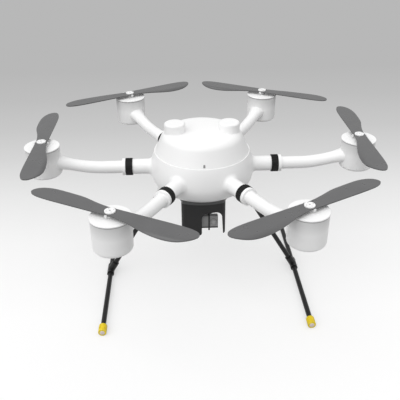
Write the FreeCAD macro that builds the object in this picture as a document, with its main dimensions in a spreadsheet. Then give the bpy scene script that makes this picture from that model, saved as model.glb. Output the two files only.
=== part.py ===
"""Six-rotor camera drone: domed centre body, plug-in arms, T-leg landing gear and a shrouded camera gimbal.

Frame: millimetres, +Z up, -Y to the front (the camera looks along -Y), +X to the right hand of someone
who faces the drone.  The origin lies on the ground under the centre of the body.
"""
import FreeCAD, Part
import math
import os
import re

import Sketcher
from FreeCAD import Vector

doc = FreeCAD.newDocument("hexacopter")

# ---------------------------------------------------------------- driving dimensions

SIZES = {
    # airframe layout
    "arm_count": 6,
    "frame_radius": 435.0,      # body axis to motor axis
    "hub_height": 447.0,        # ground to the top of the propeller clamps
    "arm_drop": 83.5,           # clamp top down to the arm axis at the body
    "fit_gap": 0.3,             # clearance of parts that plug together or pass each other
    "seat_gap": 0.1,            # clearance of parts that are glued or screwed together
    "bearing_gap": 0.05,        # radial clearance of a shaft in its bearing
    "over": 1.0,                # how far a cut runs past the face that it opens
    # lower shell
    "shell_radius": 142.3,
    "shell_wall": 3.0,
    "equator_drop": 8.5,        # arm axis down to the widest line of the shell
    "bowl_radius": 55.0,        # round of the bowl below the widest line
    "rim_rise": 47.5,           # arm axis up to the canopy seat
    "rim_inset": 11.0,          # widest line in to the outside of the rim
    "lip_height": 1.6,
    "lip_width": 2.6,
    "seat_width": 3.2,          # ledge that the canopy stands on
    "collar_depth": 7.0,        # straight neck below the canopy seat
    "ledge_width": 7.0,
    "plate_drop": 28.5,         # arm axis down to the centre plate's underside
    "stub_radius": 21.0,
    "stub_length": 70.0,        # widest line of the shell out to the end of a stub
    "stub_round": 13.0,
    "stub_bore": 17.6,
    "bore_depth": 52.3,
    "wire_bore": 12.0,
    # arms
    "arm_tube_radius": 17.3,
    "arm_wall": 2.2,
    "flange_radius": 23.5,
    "flange_length": 8.4,
    "spigot_length": 50.0,
    "bend_reach": 165.0,        # motor axis in to where the tube begins to rise
    "bend_radius": 360.0,
    "bend_angle": 20.5,
    "arm_flare": 7.5,
    "pod_radius": 46.5,
    "pod_foot_radius": 46.0,
    "pod_height": 81.0,
    "pod_wall": 2.4,
    "pod_round": 9.0,
    "lid_radius": 47.5,
    "lid_thickness": 3.0,
    "lid_edge": 1.4,
    "lid_seam": 0.8,
    "lid_plug_depth": 4.0,
    "lid_plug_wall": 2.0,
    "shaft_hole_radius": 6.5,
    # locking rings
    "ring_length": 19.3,
    "ring_radius": 23.4,
    "ring_rib_count": 20,
    "ring_rib_height": 0.7,
    "ring_rib_width": 3.4,
    # motors
    "shaft_radius": 4.0,
    "bell_radius": 23.0,
    "bell_height": 28.0,
    "bell_wall": 1.8,
    "bell_drop": 22.0,          # lid top down to the top of the bell
    "post_radius": 8.0,
    "post_height": 38.0,
    "seat_radius": 10.0,
    "seat_thickness": 7.9,
    "lug_gap": 1.0,             # edge of the propeller out to the lugs of its seat
    "lug_clearance": 0.4,       # underside of the propeller down to the bars that carry the lugs
    "lug_depth": 2.6,
    "lug_width": 6.0,
    "lug_foot": 2.4,            # thickness of those bars
    "lug_drop": 0.6,            # top of the propeller down to the top of the lugs
    # propellers
    "prop_diameter": 431.8,
    "prop_blades": 2,
    "prop_lead": 15.4,          # blade axis out to the straight leading edge, and half the width at the root
    "prop_trail": 39.0,         # blade axis out to the trailing edge where the blade is widest
    "prop_bend": 27.0,          # blade axis out to the line where the trailing flap bends down, at its widest
    "prop_droop": 5.5,          # how far the trailing edge hangs below the flat of the blade
    "prop_thickness": 2.8,
    "prop_nose": 2.0,           # round of the leading edge
    "clamp_radius": 12.6,
    "clamp_thickness": 3.0,
    "clamp_round": 1.0,
    "clamp_screw_radius": 2.2,
    # canopy
    "canopy_height": 59.0,
    "canopy_foot": 2.0,         # upright foot below the sloping side
    "canopy_draft": 23.5,       # slope of the side, in degrees from upright
    "crown_slope": 3.5,         # slope where the crown meets the shoulder, in degrees
    "shoulder_radius": 24.0,
    "canopy_wall": 2.4,
    "plug_depth": 5.0,
    "latch_rise": 4.0,          # canopy seat up to the foot of the latch slot
    "latch_width": 5.0,
    "latch_height": 9.0,
    "antenna_radius": 28.5,
    "antenna_spacing": 147.0,
    "antenna_forward": 5.0,
    "antenna_rise": 23.0,       # crown up to the top of the antenna pucks
    "antenna_round": 5.0,
    # inner parts
    "plate_thickness": 2.0,
    "plate_margin": 1.5,        # edge of the centre plate in from the wall of the bowl
    "battery_length": 150.0,
    "battery_width": 72.0,
    "battery_height": 46.0,
    "battery_round": 6.0,
    "battery_gap": 8.0,         # battery to the flight controller in front of it
    "controller_length": 78.0,
    "controller_width": 30.0,
    "controller_height": 16.0,
    "controller_round": 3.0,
    # landing gear
    "skid_spacing": 564.0,
    "skid_length": 562.0,
    "gear_tube_radius": 7.0,
    "gear_tube_wall": 1.2,
    "leg_root_radius": 110.0,   # body axis to the leg axis, at the level of the shell's underside
    "socket_radius": 11.0,
    "socket_depth": 14.0,
    "socket_reach": 20.0,
    "tee_radius": 10.5,
    "tee_length": 44.0,
    "tee_branch": 32.0,
    "tee_floor": 2.0,           # skid tube up to the foot of the leg in the tee
    "cap_radius": 11.2,
    "cap_length": 26.0,
    "cap_round": 1.5,
    "cap_rib_count": 4,
    "cap_rib_depth": 0.8,
    # camera guard
    "guard_width": 123.0,
    "guard_front": 90.0,
    "guard_bow": 8.0,
    "guard_depth": 88.0,
    "guard_side": 30.0,         # depth of the side walls beside the camera
    "guard_rake": 50.0,         # height over which the rear edge leans forward to that depth
    "guard_height": 115.0,
    "guard_wall": 3.0,
    "guard_top": 4.0,
    "guard_lip": 5.5,
    "guard_flare": 7.0,         # height over which the wall flares out to the lip
    "guard_round": 14.0,
    "window_left": 5.4,
    "window_right": 51.5,
    "window_drop": 42.5,
    "window_round": 19.0,
    "window_foot_round": 9.0,
    "window_lean": 3.4,         # how far the right edge of the window leans outward on its way down
    # gimbal and camera
    "camera_x": 11.5,
    "camera_forward": 60.5,
    "camera_drop": 81.0,
    "camera_width": 59.0,
    "camera_depth": 20.0,
    "camera_height": 36.0,
    "camera_round": 4.0,
    "lens_offset": 16.5,
    "lens_radius": 9.8,
    "lens_length": 5.0,
    "lens_round": 1.2,
    "cradle_wall": 3.0,
    "strap_width": 4.5,
    "strap_thickness": 2.4,
    "strap_offset": 4.2,
    "strap_tail": 6.0,
    "pitch_motor_radius": 12.0,
    "pitch_motor_length": 12.0,
    "roll_motor_radius": 14.0,
    "roll_motor_length": 8.0,
    "gimbal_axle_radius": 2.5,
    "axle_end_gap": 1.5,        # end of an axle to the bottom of its bore
    "gimbal_plate": 4.0,
    "gimbal_base_width": 46.0,
    "gimbal_post_width": 20.0,
    "roll_plate_reach": 33.5,   # camera centre back to the front face of the roll arm
}

sheet = doc.addObject("Spreadsheet::Sheet", "Sizes")
for row, (alias, number) in enumerate(SIZES.items(), start=1):
    sheet.set("A%d" % row, alias)
    sheet.set("B%d" % row, str(number))
    sheet.setAlias("B%d" % row, alias)
doc.recompute()

# ---------------------------------------------------------------- derived heights and places

ARM_AXIS = "(hub_height - arm_drop)"
PROP_TOP = "(hub_height - clamp_thickness)"
PROP_BOTTOM = "(" + PROP_TOP + " - prop_thickness)"
LID_TOP = "(" + PROP_BOTTOM + " - seat_thickness - fit_gap)"
LUG_INNER = "(prop_lead / sin(180 / prop_blades) + lug_gap)"
LUG_OUTER = "(" + LUG_INNER + " + lug_depth)"
LID_BOTTOM = "(" + LID_TOP + " - lid_thickness)"
POD_TOP = "(" + LID_BOTTOM + " - lid_seam)"
POD_BOTTOM = "(" + POD_TOP + " - pod_height)"
EQUATOR = "(" + ARM_AXIS + " - equator_drop)"
SHELL_BOTTOM = "(" + EQUATOR + " - bowl_radius)"
RIM = "(" + ARM_AXIS + " + rim_rise)"
RIM_RADIUS = "(shell_radius - rim_inset)"
NECK_RADIUS = "(" + RIM_RADIUS + " - lip_width - seat_width)"
CANOPY_RADIUS = "(" + RIM_RADIUS + " - lip_width - fit_gap)"
CROWN_TOP = "(" + RIM + " + canopy_height)"
DOME_FOOT = "(" + RIM + " + canopy_foot)"
SIDE_LENGTH = "((canopy_height - canopy_foot + shoulder_radius * (sin(canopy_draft) - cos(crown_slope))" \
    " - (%s - shoulder_radius * (cos(canopy_draft) - sin(crown_slope))) * tan(crown_slope / 2))" \
    " / (cos(canopy_draft) - sin(canopy_draft) * tan(crown_slope / 2)))" % CANOPY_RADIUS
SHOULDER_ACROSS = "(%s - %s * sin(canopy_draft) - shoulder_radius * cos(canopy_draft))" % (
    CANOPY_RADIUS, SIDE_LENGTH)
SHOULDER_UP = "(%s + %s * cos(canopy_draft) - shoulder_radius * sin(canopy_draft))" % (DOME_FOOT, SIDE_LENGTH)
CROWN_RADIUS = "(" + SHOULDER_ACROSS + " / sin(crown_slope) + shoulder_radius)"
PLATE_BOTTOM = "(" + ARM_AXIS + " - plate_drop)"
PLATE_TOP = "(" + PLATE_BOTTOM + " + plate_thickness)"
BOWL_CENTRE = "(shell_radius - bowl_radius)"
INNER_BOWL = "(bowl_radius - shell_wall)"
LEDGE_OUTER = "(%s + sqrt(%s^2 - (%s - %s)^2))" % (BOWL_CENTRE, INNER_BOWL, EQUATOR, PLATE_BOTTOM)
LEDGE_INNER = "(" + LEDGE_OUTER + " - ledge_width)"
STUB_END = "(shell_radius + stub_length)"
BORE_FLOOR = "(" + STUB_END + " - bore_depth)"
FLANGE_START = "(" + STUB_END + " + fit_gap)"
FLANGE_END = "(" + FLANGE_START + " + flange_length)"
BEND_START = "max(" + FLANGE_END + " + over; frame_radius - bend_reach)"
SKID_AXIS = "cap_radius"
SKID_X = "(skid_spacing / 2)"
LEG_RUN = "(skid_spacing / 2 - leg_root_radius)"
LEG_RISE = "(" + SHELL_BOTTOM + " - cap_radius)"
LEG_TILT = "atan(" + LEG_RUN + " / " + LEG_RISE + ")"
LEG_LENGTH = "sqrt(" + LEG_RUN + "^2 + " + LEG_RISE + "^2)"
LEG_FOOT = "(gear_tube_radius + tee_floor - " + LEG_LENGTH + ")"
GUARD_TOP = SHELL_BOTTOM
CAMERA_Z = "(" + SHELL_BOTTOM + " - camera_drop)"

# arm names with the angle of each arm, the rest angle of its propeller and the way it spins
ARMS = [
    ("right", 0, -89, 1),
    ("rear_right", 60, -28.5, -1),
    ("rear_left", 120, 28.5, 1),
    ("left", 180, 89, -1),
    ("front_left", 240, -28.5, 1),
    ("front_right", 300, 28.5, -1),
]

# bend of an arm, station by station: share of the way to the motor axis, and share of the flare
BEND = [
    (0.00, 0.00),
    (0.30, 0.00),
    (0.55, 0.03),
    (0.80, 0.26),
    (1.00, 1.00),
    (1.12, 1.97),
]

# propeller blade, station by station: share of the tip radius, of the lead, of the way out to the widest
# trailing edge, of the way out to the widest bend line, and of the droop
BLADE = [
    (0.00, 1.00, 0.00, 0.00, 0.02),
    (0.10, 1.00, 0.05, 0.02, 0.03),
    (0.20, 1.00, 0.20, 0.08, 0.08),
    (0.31, 1.00, 0.45, 0.28, 0.20),
    (0.43, 1.00, 0.75, 0.60, 0.48),
    (0.56, 1.00, 0.94, 0.90, 0.85),
    (0.69, 0.99, 1.00, 1.05, 1.00),
    (0.80, 0.94, 0.94, 1.06, 0.80),
    (0.88, 0.83, 0.73, 0.82, 0.46),
    (0.94, 0.62, 0.40, 0.36, 0.18),
    (0.98, 0.32, 0.03, -0.15, 0.06),
    (1.00, -0.10, -0.32, -0.60, 0.03),
]

# ---------------------------------------------------------------- modelling helpers

TOUCH = 0.01    # two lengths closer than this count as equal
nodes = []


def bound(expression):
    """Point the names in an expression at the cells of the sheet."""
    return re.sub(r"[a-z_]\w*", lambda word: "Sizes." + word[0] if word[0] in SIZES else word[0],
                  str(expression))


def value(expression):
    """The number that an expression comes to."""
    return float(sheet.evalExpression(bound(expression)))


def new_body(label, across="0", along="0", up="0", turn="0"):
    """An empty body, placed at the given point and turned about the vertical."""
    body = doc.addObject("PartDesign::Body", label)
    body.Label = label
    for axis, expression in zip("xyz", (across, along, up)):
        body.setExpression("Placement.Base." + axis, bound(expression))
    body.setExpression("Placement.Rotation.Angle", bound(turn))
    nodes.append(body)
    return body


def datum(body, role):
    """A plane or axis of a body's own origin."""
    for feature in body.Origin.OriginFeatures:
        if feature.Role == role:
            return feature
    raise ValueError(role)


def new_sketch(body, plane, across="0", up="0", out="0", turn="0"):
    """A sketch on an origin plane, shifted in the plane and along its normal, and turned in the plane."""
    sketch = body.newObject("Sketcher::SketchObject", body.Label + "_sketch")
    sketch.AttachmentSupport = [(datum(body, plane), "")]
    sketch.MapMode = "FlatFace"
    for axis, expression in zip("xyz", (across, up, out)):
        if expression != "0":
            sketch.setExpression("AttachmentOffset.Base." + axis, bound(expression))
    if turn != "0":
        sketch.setExpression("AttachmentOffset.Rotation.Angle", bound(turn))
    return sketch


def bind(sketch, constraint, expression):
    """Add a constraint whose size follows an expression."""
    index = sketch.addConstraint(constraint)
    sketch.setExpression("Constraints[%d]" % index, bound(expression))


def arc_edge(start, end, radius, side):
    """A short arc from start to end that bulges to the left (side 1) or the right (side -1)."""
    middle = (start + end) * 0.5
    chord = end - start
    half = chord.Length / 2
    normal = Vector(-chord.y, chord.x, 0).normalize()
    centre = middle - normal * side * math.sqrt(max(radius ** 2 - half ** 2, 0))
    angles = [math.atan2(point.y - centre.y, point.x - centre.x) for point in (start, end)]
    if side > 0:
        angles.reverse()
    return Part.ArcOfCircle(Part.Circle(centre, Vector(0, 0, 1), radius), angles[0], angles[1])


def outline(sketch, corners):
    """Draw a closed outline.

    Each corner is (across, up), and the edge to the next corner is straight, or
    (across, up, radius, side), and that edge is an arc.
    """
    spots = [Vector(value(corner[0]), value(corner[1]), 0) for corner in corners]
    ends = []
    for index, corner in enumerate(corners):
        start = spots[index]
        end = spots[(index + 1) % len(corners)]
        if len(corner) == 2:
            edge = sketch.addGeometry(Part.LineSegment(start, end))
            ends.append((edge, 1, 2))
        else:
            edge = sketch.addGeometry(arc_edge(start, end, value(corner[2]), corner[3]))
            ends.append((edge, 2, 1) if corner[3] > 0 else (edge, 1, 2))
    for index, (edge, first, last) in enumerate(ends):
        following = ends[(index + 1) % len(ends)]
        sketch.addConstraint(Sketcher.Constraint("Coincident", edge, last, following[0], following[1]))
        corner = corners[index]
        bind(sketch, Sketcher.Constraint("DistanceX", edge, first, spots[index].x), corner[0])
        bind(sketch, Sketcher.Constraint("DistanceY", edge, first, spots[index].y), corner[1])
        if len(corner) == 4:
            bind(sketch, Sketcher.Constraint("Radius", edge, value(corner[2])), corner[2])
    return sketch


def ring(sketch, radius, across="0", up="0"):
    """Draw a circle."""
    centre = Vector(value(across), value(up), 0)
    edge = sketch.addGeometry(Part.Circle(centre, Vector(0, 0, 1), value(radius)))
    bind(sketch, Sketcher.Constraint("DistanceX", edge, 3, centre.x), across)
    bind(sketch, Sketcher.Constraint("DistanceY", edge, 3, centre.y), up)
    bind(sketch, Sketcher.Constraint("Radius", edge, value(radius)), radius)
    return sketch


def extrude(body, sketch, length, cut=False, reverse=False):
    """Pad a sketch along its normal, or pocket it against its normal; reverse flips either."""
    kind = "PartDesign::Pocket" if cut else "PartDesign::Pad"
    feature = body.newObject(kind, body.Label + "_extrude")
    feature.Profile = sketch
    feature.setExpression("Length", bound(length))
    feature.Reversed = reverse
    doc.recompute()
    return feature


def revolve(body, sketch, axis="V_Axis", cut=False):
    """Turn a sketch once round its own vertical or horizontal axis."""
    kind = "PartDesign::Groove" if cut else "PartDesign::Revolution"
    feature = body.newObject(kind, body.Label + "_revolve")
    feature.Profile = sketch
    feature.ReferenceAxis = (sketch, [axis])
    feature.Angle = 360
    doc.recompute()
    return feature


def loft(body, sections, cut=False):
    """A smooth skin through a row of sections."""
    kind = "PartDesign::SubtractiveLoft" if cut else "PartDesign::AdditiveLoft"
    feature = body.newObject(kind, body.Label + "_loft")
    feature.Profile = sections[0]
    feature.Sections = sections[1:]
    doc.recompute()
    return feature


def polar(body, feature, count, axis="Z_Axis"):
    """Repeat a feature round one of the body's own axes; the count is a number or the name of one."""
    pattern = body.newObject("PartDesign::PolarPattern", body.Label + "_round")
    pattern.Originals = [feature]
    pattern.Axis = (datum(body, axis), [""])
    pattern.Angle = 360
    pattern.setExpression("Occurrences", bound(count))
    body.Tip = pattern
    doc.recompute()
    return pattern


def mirror(body, features, plane):
    """Mirror features in one of the body's own planes."""
    pattern = body.newObject("PartDesign::Mirrored", body.Label + "_mirror")
    pattern.Originals = features
    pattern.MirrorPlane = (datum(body, plane), [""])
    body.Tip = pattern
    doc.recompute()
    return pattern


def dress(body, kind, size, pick):
    """Fillet or chamfer the edges that pick accepts."""
    base = body.Tip
    chosen = ["Edge%d" % (index + 1) for index, edge in enumerate(base.Shape.Edges) if pick(edge)]
    if not chosen:
        raise ValueError("no edge to dress on " + body.Label)
    feature = body.newObject("PartDesign::" + kind, body.Label + "_" + kind.lower())
    feature.Base = (base, chosen)
    feature.setExpression("Radius" if kind == "Fillet" else "Size", bound(size))
    doc.recompute()
    return feature


def box_corners(left, right, low, high):
    """The four corners of a rectangle."""
    return [(left, low), (right, low), (right, high), (left, high)]


# ---------------------------------------------------------------- centre body


def lower_shell():
    """Bowl with six arm stubs, a canopy seat, a ledge for the centre plate and two leg sockets."""
    body = new_body("lower_shell")
    upper_rise = "(rim_rise + equator_drop + lip_height)"
    upper_radius = "((%s^2 + rim_inset^2) / (2 * rim_inset))" % upper_rise
    lip_top = "(" + RIM + " + lip_height)"
    seat_radius = "(" + RIM_RADIUS + " - lip_width)"
    sketch = new_sketch(body, "XZ_Plane")
    outline(sketch, [
        ("0", SHELL_BOTTOM),
        (BOWL_CENTRE, SHELL_BOTTOM, "bowl_radius", -1),
        ("shell_radius", EQUATOR, upper_radius, -1),
        (RIM_RADIUS, lip_top),
        (seat_radius, lip_top),
        (seat_radius, RIM),
        ("0", RIM),
    ])
    revolve(body, sketch)

    sketch = new_sketch(body, "XZ_Plane", up=ARM_AXIS)
    outline(sketch, box_corners("0", STUB_END, "0", "stub_radius"))
    stub = revolve(body, sketch, "H_Axis")
    polar(body, stub, "arm_count")

    def stub_root(edge):
        reach = [math.hypot(vertex.X, vertex.Y) for vertex in edge.Vertexes]
        near = value("shell_radius - rim_inset") < min(reach) and max(reach) < value("shell_radius + over")
        level = abs(edge.BoundBox.Center.z - value(ARM_AXIS)) < value("stub_radius")
        tall = edge.BoundBox.ZLength > value("shell_wall")
        return near and level and tall and not isinstance(edge.Curve, Part.Circle)

    dress(body, "Fillet", "stub_round", stub_root)

    neck_bottom = "(" + RIM + " - collar_depth)"
    neck_rise = "(" + neck_bottom + " - " + EQUATOR + ")"
    neck_run = "(shell_radius - shell_wall - " + NECK_RADIUS + ")"
    neck_round = "((%s^2 + %s^2) / (2 * %s))" % (neck_rise, neck_run, neck_run)
    ledge_foot = "(%s - sqrt(%s^2 - (%s - %s)^2))" % (EQUATOR, INNER_BOWL, LEDGE_INNER, BOWL_CENTRE)
    sketch = new_sketch(body, "XZ_Plane")
    outline(sketch, [
        ("0", SHELL_BOTTOM + " + shell_wall"),
        (BOWL_CENTRE, SHELL_BOTTOM + " + shell_wall", INNER_BOWL, -1),
        (LEDGE_INNER, ledge_foot),
        (LEDGE_INNER, PLATE_BOTTOM),
        (LEDGE_OUTER, PLATE_BOTTOM, INNER_BOWL, -1),
        ("shell_radius - shell_wall", EQUATOR, neck_round, -1),
        (NECK_RADIUS, neck_bottom),
        (NECK_RADIUS, RIM + " + over"),
        ("0", RIM + " + over"),
    ])
    revolve(body, sketch, cut=True)

    sketch = new_sketch(body, "XZ_Plane", up=ARM_AXIS)
    outline(sketch, [
        ("shell_radius - rim_inset", "0"),
        (STUB_END + " + over", "0"),
        (STUB_END + " + over", "stub_bore"),
        (BORE_FLOOR, "stub_bore"),
        (BORE_FLOOR, "wire_bore"),
        ("shell_radius - rim_inset", "wire_bore"),
    ])
    bore = revolve(body, sketch, "H_Axis", cut=True)
    polar(body, bore, "arm_count")

    place = {"across": "leg_root_radius", "up": SHELL_BOTTOM, "turn": LEG_TILT}
    sketch = new_sketch(body, "XZ_Plane", **place)
    outline(sketch, box_corners("0", "socket_radius", "-socket_reach", "socket_depth + shell_wall"))
    mirror(body, [revolve(body, sketch)], "YZ_Plane")
    sketch = new_sketch(body, "XZ_Plane", **place)
    outline(sketch, box_corners("0", "gear_tube_radius + seat_gap", "-socket_reach - over", "socket_depth"))
    mirror(body, [revolve(body, sketch, cut=True)], "YZ_Plane")


def canopy_profile(wall):
    """Corners of the canopy's outside, or its inside one wall further in: foot, side, shoulder, crown."""
    shoulder = "(shoulder_radius - " + wall + ")"
    return [
        (CANOPY_RADIUS + " - " + wall + " / cos(canopy_draft)", DOME_FOOT),
        (SHOULDER_ACROSS + " + " + shoulder + " * cos(canopy_draft)",
         SHOULDER_UP + " + " + shoulder + " * sin(canopy_draft)", shoulder, -1),
        (SHOULDER_ACROSS + " + " + shoulder + " * sin(crown_slope)",
         SHOULDER_UP + " + " + shoulder + " * cos(crown_slope)", CROWN_RADIUS + " - " + wall, -1),
        ("0", CROWN_TOP + " - " + wall),
    ]


def canopy():
    """Domed lid that drops into the rim of the lower shell, with a latch slot at the front."""
    body = new_body("canopy")
    plug_radius = "(" + NECK_RADIUS + " - fit_gap)"
    plug_foot = "(" + RIM + " - plug_depth)"
    sketch = new_sketch(body, "XZ_Plane")
    outline(sketch, [("0", RIM), (CANOPY_RADIUS, RIM)] + canopy_profile("0"))
    revolve(body, sketch)
    sketch = new_sketch(body, "XZ_Plane")
    outline(sketch, box_corners("0", plug_radius, plug_foot, DOME_FOOT))
    revolve(body, sketch)
    sketch = new_sketch(body, "XZ_Plane")
    outline(sketch, box_corners("0", plug_radius + " - canopy_wall", plug_foot + " - over",
                                DOME_FOOT + " + over"))
    revolve(body, sketch, cut=True)
    sketch = new_sketch(body, "XZ_Plane")
    outline(sketch, [("0", DOME_FOOT)] + canopy_profile("canopy_wall"))
    revolve(body, sketch, cut=True)
    sketch = new_sketch(body, "XZ_Plane", up=RIM + " + latch_rise")
    half = "latch_width / 2"
    outline(sketch, [
        ("-" + half, "0"),
        (half, "0"),
        (half, "latch_height - " + half, half, -1),
        ("0", "latch_height", half, -1),
        ("-" + half, "latch_height - " + half),
    ])
    extrude(body, sketch, CANOPY_RADIUS + " + over", cut=True, reverse=True)


def antenna(label, side):
    """Round antenna puck whose foot follows the dome under it."""
    body = new_body(label)
    top = "(" + CROWN_TOP + " + antenna_rise)"
    sketch = new_sketch(body, "XZ_Plane", across="%d * antenna_spacing / 2" % side, out="antenna_forward")
    outline(sketch, [
        ("0", RIM),
        ("antenna_radius", RIM),
        ("antenna_radius", top + " - antenna_round", "antenna_round", -1),
        ("antenna_radius - antenna_round", top),
        ("0", top),
    ])
    revolve(body, sketch)
    sketch = new_sketch(body, "XZ_Plane")
    outline(sketch, [("0", RIM + " - over"), (CANOPY_RADIUS, RIM + " - over"), (CANOPY_RADIUS, RIM)]
            + canopy_profile("0"))
    revolve(body, sketch, cut=True)


def centre_plate():
    """Disc across the bowl that carries the battery and the flight controller."""
    body = new_body("centre_plate")
    sketch = new_sketch(body, "XY_Plane", out=PLATE_BOTTOM)
    ring(sketch, LEDGE_OUTER + " - plate_margin")
    extrude(body, sketch, "plate_thickness")
    sketch = new_sketch(body, "XY_Plane", out=PLATE_TOP)
    ring(sketch, "wire_bore", LEDGE_INNER + " - 2 * wire_bore")
    hole = extrude(body, sketch, "plate_thickness", cut=True)
    polar(body, hole, "arm_count")


def boxed(label, centre, size, base, corner):
    """A block with rounded upright edges, standing on a level."""
    body = new_body(label)
    sketch = new_sketch(body, "XY_Plane", across=centre[0], up=centre[1], out=base)
    half = ["(" + side + ") / 2" for side in size]
    outline(sketch, box_corners("-" + half[0], half[0], "-" + half[1], half[1]))
    extrude(body, sketch, size[2])
    dress(body, "Fillet", corner, lambda edge: edge.BoundBox.ZLength > value(size[2]) - TOUCH)
    return body


def inner_parts():
    """Battery pack and flight controller on the centre plate."""
    boxed("battery", ("0", "0"), ("battery_length", "battery_width", "battery_height"), PLATE_TOP,
          "battery_round")
    boxed("flight_controller", ("0", "-battery_width / 2 - controller_width / 2 - battery_gap"),
          ("controller_length", "controller_width", "controller_height"), PLATE_TOP, "controller_round")


# ---------------------------------------------------------------- arms


def arm_section(body, share, radius):
    """Round section of the arm at a share of its upward bend."""
    angle = "(bend_angle * %g)" % share
    across = BEND_START + " + bend_radius * sin" + angle
    up = ARM_AXIS + " + bend_radius * (1 - cos" + angle + ")"
    sketch = body.newObject("Sketcher::SketchObject", body.Label + "_section")
    sketch.AttachmentSupport = [(datum(body, "YZ_Plane"), "")]
    sketch.MapMode = "FlatFace"
    sketch.setExpression("AttachmentOffset.Base.y", bound(up))
    sketch.setExpression("AttachmentOffset.Base.z", bound(across))
    sketch.AttachmentOffset = FreeCAD.Placement(Vector(), FreeCAD.Rotation(Vector(1, 0, 0), 1))
    sketch.setExpression("AttachmentOffset.Rotation.Angle", bound(angle))
    return ring(sketch, radius)


def arm(name, turn):
    """Moulded arm: spigot, flange, rising tube and motor pod in one piece."""
    body = new_body("arm_" + name, turn=turn)
    sketch = new_sketch(body, "XZ_Plane", up=ARM_AXIS)
    spigot = "(stub_bore - fit_gap)"
    outline(sketch, [
        (FLANGE_START + " - spigot_length", "0"),
        (BEND_START, "0"),
        (BEND_START, "arm_tube_radius"),
        (FLANGE_END, "arm_tube_radius"),
        (FLANGE_END, "flange_radius"),
        (FLANGE_START, "flange_radius"),
        (FLANGE_START, spigot),
        (FLANGE_START + " - spigot_length", spigot),
    ])
    revolve(body, sketch, "H_Axis")
    skin = [arm_section(body, share, "arm_tube_radius + arm_flare * %g" % flare) for share, flare in BEND]
    loft(body, skin)
    sketch = new_sketch(body, "XZ_Plane", across="frame_radius")
    outline(sketch, [
        ("0", POD_BOTTOM),
        ("pod_foot_radius - pod_round", POD_BOTTOM, "pod_round", -1),
        ("pod_foot_radius", POD_BOTTOM + " + pod_round"),
        ("pod_radius", POD_TOP),
        ("0", POD_TOP),
    ])
    revolve(body, sketch)
    ledge = "(" + LID_BOTTOM + " - lid_plug_depth)"
    floor = "(" + POD_BOTTOM + " + pod_wall)"
    wall_foot = "(pod_foot_radius - pod_wall)"
    wall_top = "(pod_radius - pod_wall - lid_plug_wall)"
    sketch = new_sketch(body, "XZ_Plane", across="frame_radius")
    outline(sketch, [
        ("0", floor),
        (wall_foot + " - pod_round + pod_wall", floor, "pod_round - pod_wall", -1),
        (wall_foot, POD_BOTTOM + " + pod_round"),
        (wall_foot, ledge + " - 2 * lid_plug_wall"),
        (wall_top, ledge),
        ("pod_radius - pod_wall", ledge),
        ("pod_radius - pod_wall", POD_TOP + " + over"),
        ("0", POD_TOP + " + over"),
    ])
    revolve(body, sketch, cut=True)
    bore = [arm_section(body, share, "arm_tube_radius - arm_wall") for share, flare in BEND if share <= 1]
    loft(body, bore, cut=True)
    sketch = new_sketch(body, "XZ_Plane", up=ARM_AXIS)
    outline(sketch, box_corners(FLANGE_START + " - spigot_length - over", BEND_START, "0",
                                "arm_tube_radius - arm_wall"))
    revolve(body, sketch, "H_Axis", cut=True)
    sketch = new_sketch(body, "XY_Plane", across="frame_radius", out=POD_BOTTOM + " + pod_wall / 2")
    ring(sketch, "post_radius")
    extrude(body, sketch, "post_height + pod_wall / 2")
    sketch = new_sketch(body, "XY_Plane", across="frame_radius", out=floor + " + post_height")
    ring(sketch, "shaft_radius + bearing_gap")
    extrude(body, sketch, "post_height", cut=True)


def locking_ring(name, turn):
    """Ribbed ring that turns on the end of a stub and holds the arm in it."""
    body = new_body("lock_ring_" + name, up=ARM_AXIS, turn=turn)
    sketch = new_sketch(body, "XZ_Plane")
    outline(sketch, box_corners(STUB_END + " - ring_length", STUB_END,
                                "stub_radius + fit_gap", "ring_radius"))
    revolve(body, sketch, "H_Axis")
    sketch = new_sketch(body, "YZ_Plane", out=STUB_END + " - ring_length + ring_rib_height")
    outline(sketch, box_corners("-ring_rib_width / 2", "ring_rib_width / 2", "ring_radius - ring_rib_height",
                                "ring_radius + ring_rib_height"))
    rib = extrude(body, sketch, "ring_length - 2 * ring_rib_height")
    polar(body, rib, "ring_rib_count", "X_Axis")


def motor_lid(name, turn):
    """Cap of a motor pod, with a plug that stands on the ledge in the pod and a hole for the shaft."""
    body = new_body("motor_lid_" + name, turn=turn)
    plug_radius = "(pod_radius - pod_wall - fit_gap)"
    sketch = new_sketch(body, "XZ_Plane", across="frame_radius")
    outline(sketch, [
        ("shaft_hole_radius", LID_BOTTOM),
        (plug_radius + " - lid_plug_wall", LID_BOTTOM),
        (plug_radius + " - lid_plug_wall", LID_BOTTOM + " - lid_plug_depth"),
        (plug_radius, LID_BOTTOM + " - lid_plug_depth"),
        (plug_radius, LID_BOTTOM),
        ("lid_radius", LID_BOTTOM),
        ("lid_radius", LID_TOP + " - lid_edge", "lid_edge", -1),
        ("lid_radius - lid_edge", LID_TOP),
        ("shaft_hole_radius", LID_TOP),
    ])
    revolve(body, sketch)


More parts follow.
